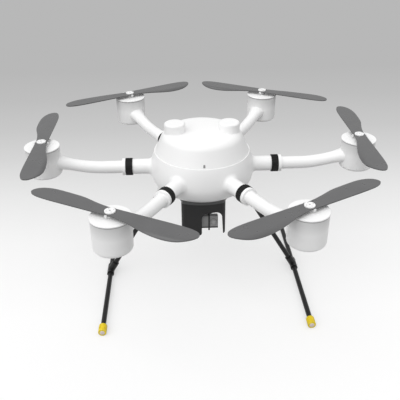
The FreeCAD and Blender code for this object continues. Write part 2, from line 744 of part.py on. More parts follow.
def motor_rotor(name, turn, rest):
    """Motor bell with its shaft and, on top, the propeller seat with a lug on each side of the propeller."""
    body = at_hub("motor_rotor_" + name, turn, rest)
    bell_top = "(" + LID_TOP + " - bell_drop)"
    bell_foot = "(" + bell_top + " - bell_height)"
    shaft_foot = "(" + POD_BOTTOM + " + 2 * pod_wall)"
    sketch = new_sketch(body, "XZ_Plane")
    outline(sketch, [
        ("0", shaft_foot),
        ("shaft_radius", shaft_foot),
        ("shaft_radius", bell_top + " - bell_wall"),
        ("bell_radius - bell_wall", bell_top + " - bell_wall"),
        ("bell_radius - bell_wall", bell_foot),
        ("bell_radius", bell_foot),
        ("bell_radius", bell_top),
        ("shaft_radius", bell_top),
        ("shaft_radius", PROP_BOTTOM + " - seat_thickness"),
        ("seat_radius", PROP_BOTTOM + " - seat_thickness"),
        ("seat_radius", PROP_BOTTOM),
        ("shaft_radius", PROP_BOTTOM),
        ("shaft_radius", PROP_TOP),
        ("0", PROP_TOP),
    ])
    revolve(body, sketch)
    place = {"out": PROP_BOTTOM + " - lug_clearance - lug_foot", "turn": "180 / prop_blades"}
    sketch = new_sketch(body, "XY_Plane", **place)
    outline(sketch, box_corners("0", LUG_OUTER, "-lug_width / 2", "lug_width / 2"))
    polar(body, extrude(body, sketch, "lug_foot"), "prop_blades")
    sketch = new_sketch(body, "XY_Plane", **place)
    outline(sketch, box_corners(LUG_INNER, LUG_OUTER, "-lug_width / 2", "lug_width / 2"))
    polar(body, extrude(body, sketch, "lug_foot + lug_clearance + prop_thickness - lug_drop"), "prop_blades")


def at_hub(label, turn, rest):
    """An empty body whose origin is on a motor axis at ground level, turned to a propeller's rest angle."""
    return new_body(label, across="frame_radius * cos(%d)" % turn,
                    along="frame_radius * sin(%d)" % turn, turn=rest)


def blade_section(body, station, side):
    """Section of a blade: flat from the leading edge to the bend line, then curving down behind it."""
    share, lead_share, trail_share, bend_share, droop_share = station
    root_bend = "(prop_lead - prop_thickness)"
    lead = "(prop_lead * %g)" % lead_share
    trail = "(prop_lead + (prop_trail - prop_lead) * %g)" % trail_share
    bend = "(%s + (prop_bend - %s) * %g)" % (root_bend, root_bend, bend_share)
    droop = "(prop_droop * %g)" % droop_share
    curve = "(((%s - %s)^2 + %s^2) / (2 * %s))" % (trail, bend, droop, droop)
    sketch = body.newObject("Sketcher::SketchObject", body.Label + "_section")
    sketch.AttachmentSupport = [(datum(body, "YZ_Plane"), "")]
    sketch.MapMode = "FlatFace"
    sketch.setExpression("AttachmentOffset.Base.y", bound(PROP_TOP))
    sketch.setExpression("AttachmentOffset.Base.z", bound("prop_diameter / 2 * %g" % share))
    forward, back = ("", "-") if side > 0 else ("-", "")
    outline(sketch, [
        (forward + lead, "0"),
        (back + bend, "0", curve, -side),
        (back + trail, "-" + droop),
        (back + trail, "-" + droop + " - prop_thickness", curve, side),
        (back + bend, "-prop_thickness"),
        (forward + lead, "-prop_thickness", "prop_nose", side),
    ])
    return sketch


def propeller(name, turn, rest, side):
    """Propeller, flat through its hub; side is 1 where it spins anticlockwise seen from above."""
    body = at_hub("propeller_" + name, turn, rest)
    blade = loft(body, [blade_section(body, station, side) for station in BLADE])
    polar(body, blade, "prop_blades")
    sketch = new_sketch(body, "XY_Plane", out=PROP_TOP + " + over")
    ring(sketch, "shaft_radius + bearing_gap")
    extrude(body, sketch, "prop_thickness + 2 * over", cut=True)


def prop_clamp(name, turn, rest):
    """Round clamp disc on top of a propeller, with its centre screw."""
    body = at_hub("prop_clamp_" + name, turn, rest)
    sketch = new_sketch(body, "XZ_Plane")
    outline(sketch, [
        ("0", PROP_TOP),
        ("clamp_radius", PROP_TOP),
        ("clamp_radius", "hub_height - clamp_round", "clamp_round", -1),
        ("clamp_radius - clamp_round", "hub_height"),
        ("clamp_screw_radius", "hub_height"),
        ("clamp_screw_radius", "hub_height - clamp_round"),
        ("0", "hub_height - clamp_round"),
    ])
    revolve(body, sketch)


# ---------------------------------------------------------------- landing gear


def leg_place(side):
    """Placement values of a leg's own frame: on the leg axis, level with the shell's underside."""
    return {"across": "%d * leg_root_radius" % side, "up": SHELL_BOTTOM, "turn": "%d * %s" % (side, LEG_TILT)}


def leg(label, side):
    """Tube from the socket under the shell to the clamp on the skid."""
    body = new_body(label)
    sketch = new_sketch(body, "XZ_Plane", **leg_place(side))
    outline(sketch, box_corners("gear_tube_radius - gear_tube_wall", "gear_tube_radius",
                                LEG_FOOT, "socket_depth"))
    revolve(body, sketch)


def tee(label, side):
    """Clamp that joins a leg to the middle of its skid."""
    body = new_body(label)
    centre = "%d * %s" % (side, SKID_X)
    sketch = new_sketch(body, "XZ_Plane", across=centre, up=SKID_AXIS, out="-tee_length / 2")
    ring(sketch, "tee_radius")
    extrude(body, sketch, "tee_length")
    sketch = new_sketch(body, "XZ_Plane", **leg_place(side))
    outline(sketch, box_corners("0", "tee_radius", "-" + LEG_LENGTH, "tee_branch - " + LEG_LENGTH))
    revolve(body, sketch)
    sketch = new_sketch(body, "XZ_Plane", **leg_place(side))
    outline(sketch, box_corners("0", "gear_tube_radius + seat_gap", LEG_FOOT,
                                "tee_branch + over - " + LEG_LENGTH))
    revolve(body, sketch, cut=True)
    sketch = new_sketch(body, "XZ_Plane", across=centre, up=SKID_AXIS, out="tee_length / 2 + over")
    ring(sketch, "gear_tube_radius + seat_gap")
    extrude(body, sketch, "tee_length + 2 * over", cut=True)


def skid(label, side):
    """Round tube that the drone stands on."""
    body = new_body(label)
    length = "(skid_length - cap_length)"
    sketch = new_sketch(body, "XZ_Plane", across="%d * %s" % (side, SKID_X), up=SKID_AXIS,
                        out="-" + length + " / 2")
    ring(sketch, "gear_tube_radius")
    ring(sketch, "gear_tube_radius - gear_tube_wall")
    extrude(body, sketch, length)


def skid_cap(label, side, end):
    """Ribbed rubber cap on one end of a skid."""
    body = new_body(label, across="%d * %s" % (side, SKID_X), along="%d * skid_length / 2" % end,
                    up=SKID_AXIS, turn="0" if end < 0 else "180")
    pitch = "(cap_length - 2 * cap_rib_depth) / (2 * cap_rib_count + 1)"
    sketch = new_sketch(body, "YZ_Plane")
    bore = "(gear_tube_radius + seat_gap)"
    outline(sketch, [
        ("0", "0"),
        ("cap_length / 2", "0"),
        ("cap_length / 2", bore),
        ("cap_length", bore),
        ("cap_length", "cap_radius"),
        ("cap_round", "cap_radius", "cap_round", -1),
        ("0", "cap_radius - cap_round"),
    ])
    revolve(body, sketch, "H_Axis")
    for index in range(int(value("cap_rib_count"))):
        start = "(cap_rib_depth + %s * %d)" % (pitch, 2 * index + 1)
        sketch = new_sketch(body, "YZ_Plane")
        outline(sketch, box_corners(start, "%s + %s" % (start, pitch), "cap_radius - cap_rib_depth",
                                    "cap_radius + over"))
        revolve(body, sketch, "H_Axis", cut=True)


# ---------------------------------------------------------------- camera guard and gimbal


def guard_plan(sketch, inset):
    """U-shaped plan of the guard, open to the rear: straight sides, round corners and a bowed front."""
    half = "(guard_width / 2 - " + inset + ")"
    corner = "(guard_round - " + inset + ")"
    shoulder = "(-guard_front + guard_bow + guard_round)"
    front = "(-guard_front + guard_bow + " + inset + ")"
    turn_x = "(guard_width / 2 - guard_round)"
    bow = "((%s^2 + guard_bow^2) / (2 * guard_bow))" % turn_x
    back = "(guard_depth - guard_front)"
    outline(sketch, [
        (half, back),
        ("-" + half, back),
        ("-" + half, shoulder, corner, -1),
        ("-" + turn_x, front, bow, -1),
        (turn_x, front, corner, -1),
        (half, shoulder),
    ])


def camera_guard():
    """Shroud round the camera: closed top, U-shaped wall with raked rear edges and an arched window."""
    body = new_body("camera_guard")
    sketch = new_sketch(body, "XY_Plane", out=GUARD_TOP + " - guard_height")
    guard_plan(sketch, "0")
    extrude(body, sketch, "guard_height")
    flare = [new_sketch(body, "XY_Plane", out=GUARD_TOP + " - guard_top - guard_flare")]
    guard_plan(flare[0], "0")
    flare.append(new_sketch(body, "XY_Plane", out=GUARD_TOP + " - guard_top"))
    guard_plan(flare[1], "-guard_lip")
    loft(body, flare)
    sketch = new_sketch(body, "XY_Plane", out=GUARD_TOP + " - guard_top")
    guard_plan(sketch, "-guard_lip")
    extrude(body, sketch, "guard_top")
    sketch = new_sketch(body, "XY_Plane", out=GUARD_TOP + " - guard_top")
    guard_plan(sketch, "guard_wall")
    extrude(body, sketch, "guard_height", cut=True)

    foot = GUARD_TOP + " - guard_height"
    head = GUARD_TOP + " - window_drop"
    sketch = new_sketch(body, "XZ_Plane")
    outline(sketch, [
        ("-window_left - window_foot_round", foot, "window_foot_round", -1),
        ("-window_left", foot + " + window_foot_round"),
        ("-window_left", head + " - window_round", "window_round", 1),
        ("window_round - window_left", head),
        ("window_right - window_round", head, "window_round", 1),
        ("window_right", head + " - window_round"),
        ("window_right + window_lean", foot),
        ("window_right + window_lean", foot + " - over"),
        ("-window_left - window_foot_round", foot + " - over"),
    ])
    extrude(body, sketch, "guard_front + guard_bow", cut=True, reverse=True)

    back = "guard_depth - guard_front"
    side_back = "guard_side - guard_front"
    rake_run = "(guard_depth - guard_side + over)"
    rake_foot = GUARD_TOP + " - guard_top - guard_rake"
    rake_round = "((%s^2 + guard_rake^2) / 2 / min(%s; guard_rake))" % (rake_run, rake_run)
    sketch = new_sketch(body, "YZ_Plane", out="-guard_width / 2 - guard_lip - over")
    outline(sketch, [
        (side_back, foot + " - over"),
        (side_back, rake_foot, rake_round, 1),
        (back + " + over", GUARD_TOP + " - guard_top"),
        (back + " + over", foot + " - over"),
    ])
    extrude(body, sketch, "guard_width + 2 * (guard_lip + over)", cut=True, reverse=True)


def block(body, across, along, up):
    """Add a block to a body between two places on each axis."""
    sketch = new_sketch(body, "XY_Plane", out=up[0])
    outline(sketch, box_corners(across[0], across[1], along[0], along[1]))
    return extrude(body, sketch, "(%s) - (%s)" % (up[1], up[0]))


# places along the roll axis, from the camera to the rear, and along the pitch axis, from the camera outward
ROLL_PLATE = "(roll_plate_reach - camera_forward)"
ROLL_BELL = "(" + ROLL_PLATE + " + gimbal_plate)"
ROLL_STATOR = "(" + ROLL_BELL + " + roll_motor_length + fit_gap)"
ROLL_POST = "(" + ROLL_BELL + " + 2 * roll_motor_length + fit_gap)"
CRADLE_SIDE = "(camera_x - camera_width / 2)"
PITCH_BELL = "(" + CRADLE_SIDE + " - cradle_wall)"
PITCH_STATOR = "(" + PITCH_BELL + " - pitch_motor_length / 2 - fit_gap)"
PITCH_PLATE = "(" + PITCH_STATOR + " - pitch_motor_length / 2)"


def drum(body, plane, place, start, length, radius, cut=False):
    """Round boss or bore along the roll axis (XZ_Plane) or the pitch axis (YZ_Plane).

    It starts at a place on that axis and runs to the rear, or to the left.
    """
    out = "-(" + start + ")" if plane == "XZ_Plane" else start
    sketch = new_sketch(body, plane, across=place[0], up=place[1], out=out)
    ring(sketch, radius)
    return extrude(body, sketch, length, cut=cut, reverse=not cut)


def gimbal_base():
    """Plate under the guard's top with a post that carries the roll motor."""
    body = new_body("gimbal_base")
    top = "(" + GUARD_TOP + " - guard_top)"
    half = "gimbal_base_width / 2"
    block(body, ("camera_x - " + half, "camera_x + " + half),
          (ROLL_PLATE + " - gimbal_base_width / 2", ROLL_POST + " + gimbal_plate"),
          (top + " - gimbal_plate", top))
    half = "gimbal_post_width / 2"
    block(body, ("camera_x - " + half, "camera_x + " + half),
          (ROLL_POST, ROLL_POST + " + gimbal_plate"), (CAMERA_Z, top))
    axis = ("camera_x", CAMERA_Z)
    drum(body, "XZ_Plane", axis, ROLL_STATOR, "roll_motor_length + gimbal_plate", "roll_motor_radius")
    drum(body, "XZ_Plane", axis, ROLL_STATOR, "roll_motor_length", "gimbal_axle_radius + bearing_gap",
         cut=True)


def roll_arm():
    """L-shaped arm: roll motor bell and axle at the rear, pitch motor at the left of the camera."""
    body = new_body("gimbal_roll_arm")
    sketch = new_sketch(body, "XZ_Plane", up=CAMERA_Z, out="-" + ROLL_BELL)
    low = "-pitch_motor_radius"
    outer = "(" + PITCH_PLATE + " - gimbal_plate)"
    outline(sketch, [
        (outer, low),
        ("camera_x", "-roll_motor_radius", "roll_motor_radius", -1),
        ("camera_x + roll_motor_radius", "0", "roll_motor_radius", -1),
        ("camera_x", "roll_motor_radius"),
        (outer, "pitch_motor_radius"),
    ])
    extrude(body, sketch, "gimbal_plate")
    axis = ("camera_x", CAMERA_Z)
    drum(body, "XZ_Plane", axis, ROLL_BELL, "roll_motor_length", "roll_motor_radius")
    drum(body, "XZ_Plane", axis, ROLL_BELL, "2 * roll_motor_length - axle_end_gap", "gimbal_axle_radius")
    sketch = new_sketch(body, "YZ_Plane", up=CAMERA_Z, out=PITCH_PLATE)
    outline(sketch, [
        ("-camera_forward", low),
        (ROLL_BELL, low),
        (ROLL_BELL, "pitch_motor_radius"),
        ("-camera_forward", "pitch_motor_radius", "pitch_motor_radius", 1),
        ("-camera_forward - pitch_motor_radius", "0", "pitch_motor_radius", 1),
    ])
    extrude(body, sketch, "gimbal_plate", reverse=True)
    axis = ("-camera_forward", CAMERA_Z)
    drum(body, "YZ_Plane", axis, PITCH_STATOR, "pitch_motor_length / 2", "pitch_motor_radius")
    drum(body, "YZ_Plane", axis, PITCH_STATOR, "pitch_motor_length / 2", "gimbal_axle_radius + bearing_gap",
         cut=True)


def camera_cradle():
    """Tray and strap that hold the camera, with the pitch motor bell and its axle at the left."""
    body = new_body("camera_cradle")
    front = "(-camera_forward - camera_depth / 2)"
    back = "(-camera_forward + camera_depth / 2)"
    low = "(" + CAMERA_Z + " - camera_height / 2)"
    high = "(" + CAMERA_Z + " + camera_height / 2)"
    right = "(camera_x + camera_width / 2)"
    block(body, (PITCH_BELL, right), (front, back), (low + " - cradle_wall", low))
    block(body, (PITCH_BELL, CRADLE_SIDE), (front, back), (low + " - cradle_wall", high))
    strap = ("camera_x + strap_offset - strap_width / 2", "camera_x + strap_offset + strap_width / 2")
    strap_low = low + " - cradle_wall"
    strap_high = high + " + strap_thickness"
    block(body, strap, (front + " - strap_thickness", front), (strap_low + " - strap_tail", strap_high))
    block(body, strap, (back, back + " + strap_thickness"), (strap_low, strap_high))
    block(body, strap, (front, back), (high, strap_high))
    block(body, strap, (front + " - strap_thickness", front + " + strap_thickness"),
          (strap_low + " - strap_tail", strap_low))
    axis = ("-camera_forward", CAMERA_Z)
    drum(body, "YZ_Plane", axis, PITCH_BELL, "pitch_motor_length / 2", "pitch_motor_radius")
    drum(body, "YZ_Plane", axis, PITCH_BELL, "pitch_motor_length - axle_end_gap", "gimbal_axle_radius")


def camera():
    """Action camera and its lens."""
    body = new_body("camera_body")
    sketch = new_sketch(body, "XZ_Plane", across="camera_x", up=CAMERA_Z,
                        out="camera_forward - camera_depth / 2")
    half = ("camera_width / 2", "camera_height / 2")
    outline(sketch, box_corners("-" + half[0], half[0], "-" + half[1], half[1]))
    extrude(body, sketch, "camera_depth")
    dress(body, "Fillet", "camera_round", lambda edge: edge.BoundBox.YLength > value("camera_depth") - TOUCH)
    body = new_body("camera_lens")
    sketch = new_sketch(body, "YZ_Plane", across="-camera_forward - camera_depth / 2", up=CAMERA_Z,
                        out="camera_x + lens_offset")
    outline(sketch, [
        ("0", "0"),
        ("0", "lens_radius"),
        ("lens_round - lens_length", "lens_radius", "lens_round", 1),
        ("-lens_length", "lens_radius - lens_round"),
        ("-lens_length", "lens_radius - 2 * lens_round"),
        ("-lens_length / 2", "lens_radius - 3 * lens_round"),
        ("-lens_length / 2", "0"),
    ])
    revolve(body, sketch, "H_Axis")


def main():
    lower_shell()
    canopy()
    antenna("antenna_left", -1)
    antenna("antenna_right", 1)
    centre_plate()
    inner_parts()
    for name, turn, rest, side in ARMS:
        arm(name, turn)
        locking_ring(name, turn)
        motor_lid(name, turn)
        motor_rotor(name, turn, rest)
        propeller(name, turn, rest, side)
        prop_clamp(name, turn, rest)
    for word, side in (("left", -1), ("right", 1)):
        leg("leg_" + word, side)
        tee("tee_" + word, side)
        skid("skid_" + word, side)
        skid_cap("skid_cap_front_" + word, side, -1)
        skid_cap("skid_cap_rear_" + word, side, 1)
    camera_guard()
    gimbal_base()
    roll_arm()
    camera_cradle()
    camera()


main()
doc.recompute()
failed = [item.Label for item in doc.Objects if "Invalid" in item.State or "Error" in item.State]
for body in nodes:
    if body.Shape.isNull() or not body.Shape.isValid() or len(body.Shape.Solids) != 1:
        failed.append(body.Label)
if failed:
    raise RuntimeError("failed: " + ", ".join(failed))
os.makedirs("parts", exist_ok=True)
for body in nodes:
    body.Shape.exportStep("parts/" + body.Label + ".step")
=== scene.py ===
import math

import bmesh
import bpy
from mathutils import Matrix, Vector


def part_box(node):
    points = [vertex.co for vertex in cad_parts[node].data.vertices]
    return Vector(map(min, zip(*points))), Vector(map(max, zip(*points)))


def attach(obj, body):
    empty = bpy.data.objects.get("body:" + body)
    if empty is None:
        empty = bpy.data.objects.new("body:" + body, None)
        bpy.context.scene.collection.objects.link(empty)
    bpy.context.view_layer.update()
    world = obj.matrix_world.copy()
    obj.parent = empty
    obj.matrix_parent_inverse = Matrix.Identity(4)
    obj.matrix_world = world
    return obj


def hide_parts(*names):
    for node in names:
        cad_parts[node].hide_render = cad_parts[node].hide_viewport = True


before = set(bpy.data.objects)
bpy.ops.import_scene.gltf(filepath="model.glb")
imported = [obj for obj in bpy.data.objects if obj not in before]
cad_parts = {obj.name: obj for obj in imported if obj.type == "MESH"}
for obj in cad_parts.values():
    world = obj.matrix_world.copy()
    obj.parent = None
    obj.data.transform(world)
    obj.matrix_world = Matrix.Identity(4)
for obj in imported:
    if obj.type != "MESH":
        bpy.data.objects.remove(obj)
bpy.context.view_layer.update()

# Lengths are in metres unless a comment says otherwise. Colours and shades are linear.

# ---------------------------------------------------------------- camera, floor and light

CAMERA_PLACE = Vector((-0.0697, -1.4659, 1.0927))
CAMERA_AZIMUTH = math.radians(-2.471)   # from straight ahead, negative to the left
CAMERA_DROP = math.radians(29.888)      # from level, down
CAMERA_ROLL = math.radians(-0.410)
CAMERA_LENS = 52.56                     # millimetres, for the sensor below
SENSOR_WIDTH = 36.0                     # millimetres

KEY_ENERGY = 1.22                       # watts per square metre
KEY_SPREAD = math.radians(70)           # across, so that its shadows are soft
KEY_FROM = (-0.52, -0.50, 0.80)         # direction that its light comes from
SKY_LEVEL = 0.42                        # shade of the sky at the horizon and below it
SKY_TOP = 0.98                          # shade of the sky overhead
SKY_TOP_AT = 0.9                        # height on the unit sphere where that shade is reached

FLOOR_CORNERS = [(-9, -6, 0), (9, -6, 0), (9, 14, 0), (-9, 14, 0)]
FADE_BEHIND = (-0.2, 2.3)               # y where the fade starts and ends behind the object
FADE_AROUND = (1.1, 4.5)                # distance from the middle where it starts and ends elsewhere
# Shades of the floor along the fade, each after its place between the start and the end.
FLOOR_SHADES = [
    (0.0, 0.97),
    (0.15, 0.90),
    (0.27, 0.79),
    (0.41, 0.64),
    (0.53, 0.555),
    (0.70, 0.49),
    (0.9, 0.455),
]
FLOOR_GLOW = 0.55                       # share of the floor's brightness that no shadow takes away
FLOOR_BOUNCE = 0.30                     # shade of the floor in the light that it throws on the object


def grey(shade):
    """A colour with the same red, green and blue."""
    return (shade, shade, shade)


def new_object(name, data):
    """Put a new object with its data into the scene."""
    item = bpy.data.objects.new(name, data)
    bpy.context.scene.collection.objects.link(item)
    return item


def add_camera():
    """The camera looks down from the front, a little from the left."""
    level = math.cos(CAMERA_DROP)
    aside, ahead = math.sin(CAMERA_AZIMUTH) * level, math.cos(CAMERA_AZIMUTH) * level
    back = Vector((aside, -ahead, math.sin(CAMERA_DROP)))
    right = (-back).cross(Vector((0, 0, 1))).normalized()
    up = right.cross(-back)
    cosine, sine = math.cos(CAMERA_ROLL), math.sin(CAMERA_ROLL)
    right, up = right * cosine + up * sine, up * cosine - right * sine
    data = bpy.data.cameras.new("camera")
    data.lens = CAMERA_LENS
    data.sensor_width = SENSOR_WIDTH
    camera = new_object("camera", data)
    turn = Matrix((right, up, back)).transposed().to_4x4()
    camera.matrix_world = Matrix.Translation(CAMERA_PLACE) @ turn
    bpy.context.scene.camera = camera


def add_light():
    """A broad lamp high in the front left, and a pale sky that is brighter overhead."""
    bpy.context.scene.view_settings.view_transform = "Standard"
    data = bpy.data.lights.new("key", "SUN")
    data.energy = KEY_ENERGY
    data.angle = KEY_SPREAD
    lamp = new_object("key", data)
    lamp.rotation_euler = Vector(KEY_FROM).to_track_quat("Z", "Y").to_euler()
    world = bpy.data.worlds.new("studio")
    bpy.context.scene.world = world
    world.use_nodes = True
    nodes, links = world.node_tree.nodes, world.node_tree.links
    nodes.clear()
    out = nodes.new("ShaderNodeOutputWorld")
    sky = nodes.new("ShaderNodeBackground")
    place = nodes.new("ShaderNodeTexCoord")
    split = nodes.new("ShaderNodeSeparateXYZ")
    ramp = nodes.new("ShaderNodeValToRGB")
    stops = ((0.0, SKY_LEVEL), (SKY_TOP_AT, SKY_TOP))
    for element, (position, shade) in zip(ramp.color_ramp.elements, stops):
        element.position = position
        element.color = (*grey(shade), 1)
    links.new(place.outputs["Generated"], split.inputs[0])
    links.new(split.outputs["Z"], ramp.inputs["Fac"])
    links.new(ramp.outputs["Color"], sky.inputs["Color"])
    links.new(sky.outputs["Background"], out.inputs["Surface"])


def add_floor():
    """A pale floor: white round the object, and grey far behind it and far away on every side."""
    mesh = bpy.data.meshes.new("floor")
    mesh.from_pydata(FLOOR_CORNERS, [], [(0, 1, 2, 3)])
    floor = new_object("floor", mesh)
    material = bpy.data.materials.new("floor")
    material.use_nodes = True
    nodes, links = material.node_tree.nodes, material.node_tree.links
    nodes.remove(nodes["Principled BSDF"])

    # How far along the fade a place is: the larger of its share behind and its share outward.
    place = nodes.new("ShaderNodeTexCoord")
    split = nodes.new("ShaderNodeSeparateXYZ")
    span = nodes.new("ShaderNodeMapRange")
    span.inputs["From Min"].default_value, span.inputs["From Max"].default_value = FADE_BEHIND
    links.new(place.outputs["Object"], split.inputs[0])
    links.new(split.outputs["Y"], span.inputs["Value"])
    reach = nodes.new("ShaderNodeVectorMath")
    reach.operation = "LENGTH"
    links.new(place.outputs["Object"], reach.inputs[0])
    around = nodes.new("ShaderNodeMapRange")
    around.inputs["From Min"].default_value, around.inputs["From Max"].default_value = FADE_AROUND
    links.new(reach.outputs["Value"], around.inputs["Value"])
    farther = nodes.new("ShaderNodeMath")
    farther.operation = "MAXIMUM"
    links.new(span.outputs["Result"], farther.inputs[0])
    links.new(around.outputs["Result"], farther.inputs[1])
    ramp = nodes.new("ShaderNodeValToRGB")
    while len(ramp.color_ramp.elements) < len(FLOOR_SHADES):
        ramp.color_ramp.elements.new(0.5)
    for element, (position, shade) in zip(ramp.color_ramp.elements, FLOOR_SHADES):
        element.position = position
        element.color = (*grey(shade), 1)
    links.new(farther.outputs[0], ramp.inputs["Fac"])

    # What the camera sees: partly lit, so that it takes shadows, and partly glowing.
    lit = nodes.new("ShaderNodeBsdfDiffuse")
    glow = nodes.new("ShaderNodeEmission")
    links.new(ramp.outputs["Color"], lit.inputs["Color"])
    links.new(ramp.outputs["Color"], glow.inputs["Color"])
    shown = nodes.new("ShaderNodeMixShader")
    shown.inputs["Fac"].default_value = FLOOR_GLOW
    links.new(lit.outputs["BSDF"], shown.inputs[1])
    links.new(glow.outputs["Emission"], shown.inputs[2])

    # What lights the object from below: a plain darker shade.
    quiet = nodes.new("ShaderNodeBsdfDiffuse")
    quiet.inputs["Color"].default_value = (*grey(FLOOR_BOUNCE), 1)
    rays = nodes.new("ShaderNodeLightPath")
    seen = rays.outputs["Is Camera Ray"]
    for kind in ("Is Glossy Ray", "Is Transmission Ray"):
        either = nodes.new("ShaderNodeMath")
        either.operation = "ADD"
        either.use_clamp = True
        links.new(seen, either.inputs[0])
        links.new(rays.outputs[kind], either.inputs[1])
        seen = either.outputs[0]
    mix = nodes.new("ShaderNodeMixShader")
    links.new(seen, mix.inputs["Fac"])
    links.new(quiet.outputs["BSDF"], mix.inputs[1])
    links.new(shown.outputs["Shader"], mix.inputs[2])
    links.new(mix.outputs["Shader"], nodes["Material Output"].inputs["Surface"])
    mesh.materials.append(material)


# ---------------------------------------------------------------- materials

POD_WHITE = grey(0.94)
# Bands of painted shade and painted shadow on the pods, each by its distance below the top of the
# lids.
LID_EDGE = 0.0031       # top of the painted shadow in the seam under the lid's edge
SEAM_SHADOW_FOOT = 0.0060      # the foot of that painted shadow
PAINTED_SHADE_FOOT = 0.040       # where the painted shade on the pod's wall ends; below it the wall is fully white
SEAM_SHADOW_BLUR = 0.0008      # height over which the painted shade turns to the painted shadow
EDGE_BLUR = 0.0002      # height over which the painted shadow turns to the white lid
# The flared lip of the camera guard, by its distance below the guard's top.
LIP_EDGE = 0.0150
LIP_FOOT = 0.0165

NOISE_SPAN = (0.3, 0.7)     # the part of a noise's range that holds nearly all of its values
THREAD_CONTRAST = 1.7       # the lighter threads of the weave against the darker ones


class Surface:
    """A Principled material, and short ways to add the nodes that give it its detail."""

    def __init__(self, name, color, roughness, specular=0.5, metallic=0.0):
        self.material = bpy.data.materials.new(name)
        self.material.use_nodes = True
        self.nodes = self.material.node_tree.nodes
        self.links = self.material.node_tree.links
        self.shader = self.nodes["Principled BSDF"]
        self.color = color
        self.shader.inputs["Base Color"].default_value = (*color, 1)
        self.shader.inputs["Roughness"].default_value = roughness
        self.shader.inputs["Specular IOR Level"].default_value = specular
        self.shader.inputs["Metallic"].default_value = metallic
        self.place = self.nodes.new("ShaderNodeTexCoord")
        self.roughness = roughness

    def noise(self, scale, detail=3.0, roughness=0.5):
        """A noise fixed to the object."""
        node = self.nodes.new("ShaderNodeTexNoise")
        node.inputs["Scale"].default_value = scale
        node.inputs["Detail"].default_value = detail
        node.inputs["Roughness"].default_value = roughness
        self.links.new(self.place.outputs["Object"], node.inputs["Vector"])
        return node.outputs["Fac"]

    def spread(self, source, low, high):
        """Map the usual values of a noise onto a range."""
        node = self.nodes.new("ShaderNodeMapRange")
        node.inputs["From Min"].default_value, node.inputs["From Max"].default_value = NOISE_SPAN
        node.inputs["To Min"].default_value = low
        node.inputs["To Max"].default_value = high
        self.links.new(source, node.inputs["Value"])
        return node.outputs["Result"]

    def mottle(self, scale, amount):
        """Vary the colour a little across the surface."""
        mix = self.nodes.new("ShaderNodeMix")
        mix.data_type = "RGBA"
        dark = tuple(channel * (1 - amount) for channel in self.color)
        light = tuple(min(channel * (1 + amount), 1.0) for channel in self.color)
        mix.inputs["A"].default_value = (*dark, 1)
        mix.inputs["B"].default_value = (*light, 1)
        self.links.new(self.spread(self.noise(scale), 0, 1), mix.inputs["Factor"])
        self.links.new(mix.outputs["Result"], self.shader.inputs["Base Color"])
        return self

    def wear(self, scale, amount):
        """Vary the roughness a little across the surface."""
        noise = self.noise(scale, 4.0, 0.6)
        rough = self.spread(noise, self.roughness - amount, self.roughness + amount)
        self.links.new(rough, self.shader.inputs["Roughness"])
        return self

    def band(self, low, high, color):
        """Turn to another colour upward, between two heights, and keep it above them."""
        split = self.nodes.new("ShaderNodeSeparateXYZ")
        self.links.new(self.place.outputs["Object"], split.inputs[0])
        span = self.nodes.new("ShaderNodeMapRange")
        span.inputs["From Min"].default_value = low
        span.inputs["From Max"].default_value = high
        self.links.new(split.outputs["Z"], span.inputs["Value"])
        mix = self.nodes.new("ShaderNodeMix")
        mix.data_type = "RGBA"
        mix.inputs["B"].default_value = (*color, 1)
        base = self.shader.inputs["Base Color"]
        self.links.new(base.links[0].from_socket, mix.inputs["A"])
        self.links.new(span.outputs["Result"], mix.inputs["Factor"])
        self.links.new(mix.outputs["Result"], base)
        return self

    def grain(self, scale, depth, strength=0.3):
        """A fine moulded grain."""
        bump = self.nodes.new("ShaderNodeBump")
        bump.inputs["Strength"].default_value = strength
        bump.inputs["Distance"].default_value = depth
        self.links.new(self.noise(scale, 2.0), bump.inputs["Height"])
        self.links.new(bump.outputs["Normal"], self.shader.inputs["Normal"])
        return self


def weave_surface(name, color, pitch):
    """Lacquered carbon fibre: a fine check of threads under a clear coat."""
    surface = Surface(name, color, 0.38)
    check = surface.nodes.new("ShaderNodeTexChecker")
    check.inputs["Scale"].default_value = 1 / pitch
    check.inputs["Color1"].default_value = (*color, 1)
    check.inputs["Color2"].default_value = (*(channel * THREAD_CONTRAST for channel in color), 1)
    surface.links.new(surface.place.outputs["Object"], check.inputs["Vector"])
    surface.links.new(check.outputs["Color"], surface.shader.inputs["Base Color"])
    surface.shader.inputs["Specular IOR Level"].default_value = 0.25
    surface.shader.inputs["Coat Weight"].default_value = 0.12
    surface.shader.inputs["Coat Roughness"].default_value = 0.15
    return surface.wear(40, 0.06)


def white_surface(name, color):
    """Glossy white moulding."""
    surface = Surface(name, color, 0.30, specular=0.45)
    return surface.mottle(6, 0.002).wear(20, 0.012).grain(900, 0.00002, 0.2)


def pod_surface(name):
    """White moulding, with painted shade greying the top of the pods' walls and a painted shadow in
    the seam under the lids.
    """
    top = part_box("motor_lid_right")[1].z
    surface = white_surface(name, POD_WHITE)
    # Painted shade: the wall turns grey towards its top, as if shaded by the lid.
    surface.band(top - PAINTED_SHADE_FOOT, top - SEAM_SHADOW_FOOT, grey(0.69))
    # Painted shadow: a dark band just under the lid's edge.
    surface.band(top - SEAM_SHADOW_FOOT, top - SEAM_SHADOW_FOOT + SEAM_SHADOW_BLUR, grey(0.36))
    return surface.band(top - LID_EDGE - EDGE_BLUR, top - LID_EDGE, POD_WHITE)


def black_surface(name, color, roughness):
    """Dark moulded plastic with a fine grain."""
    surface = Surface(name, color, roughness, specular=0.3)
    return surface.mottle(30, 0.12).wear(60, 0.06).grain(700, 0.00008, 0.5)


def steel_surface(name, color, roughness):
    """Plain bright steel of small screws."""
    return Surface(name, color, roughness, metallic=1.0).mottle(200, 0.05).wear(150, 0.08)


def propeller_surface():
    """Satin grey blades with faint cloudy patches."""
    surface = Surface("propeller_grey", (0.106, 0.106, 0.108), 0.30, specular=0.6)
    return surface.mottle(18, 0.05).wear(25, 0.05).grain(600, 0.00005)


